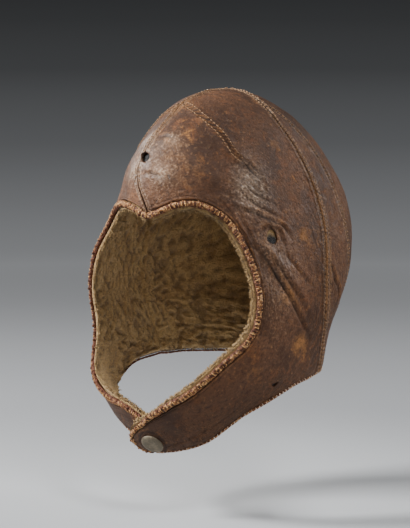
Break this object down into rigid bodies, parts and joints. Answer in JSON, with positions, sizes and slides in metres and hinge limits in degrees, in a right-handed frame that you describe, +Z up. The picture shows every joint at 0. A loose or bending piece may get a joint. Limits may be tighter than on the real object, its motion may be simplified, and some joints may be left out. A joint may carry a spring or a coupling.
{
  "type": "leather flying helmet",
  "caption": "Close-fitting brown leather flying helmet lined with fleece, its rolled face edge running down into two chin flaps that overlap and snap together under the chin.",
  "frame": {"origin": "inside top of the fleece crown, where the wearer's head bears", "axes": "+Z up, -Y out of the face opening, +X towards the wearer's left"},
  "size_m": [0.177, 0.2022, 0.2539],
  "materials": {
    "leather": "worn and creased, satin",
    "fleece": "matted pile",
    "binding": "thin rolled edge, overcast",
    "snap_metal": "dull, tarnished"
  },
  "bodies": {
    "root": {"side_left": "leather", "side_right": "leather", "gore_left": "leather", "back_panel": "leather", "gore_right": "leather", "fleece_left": "fleece", "fleece_right": "fleece", "fleece_back": "fleece", "face_binding": "binding", "hem_binding": "binding", "snap_cap": "snap_metal", "snap_stud": "snap_metal"}
  },
  "joints": []
}
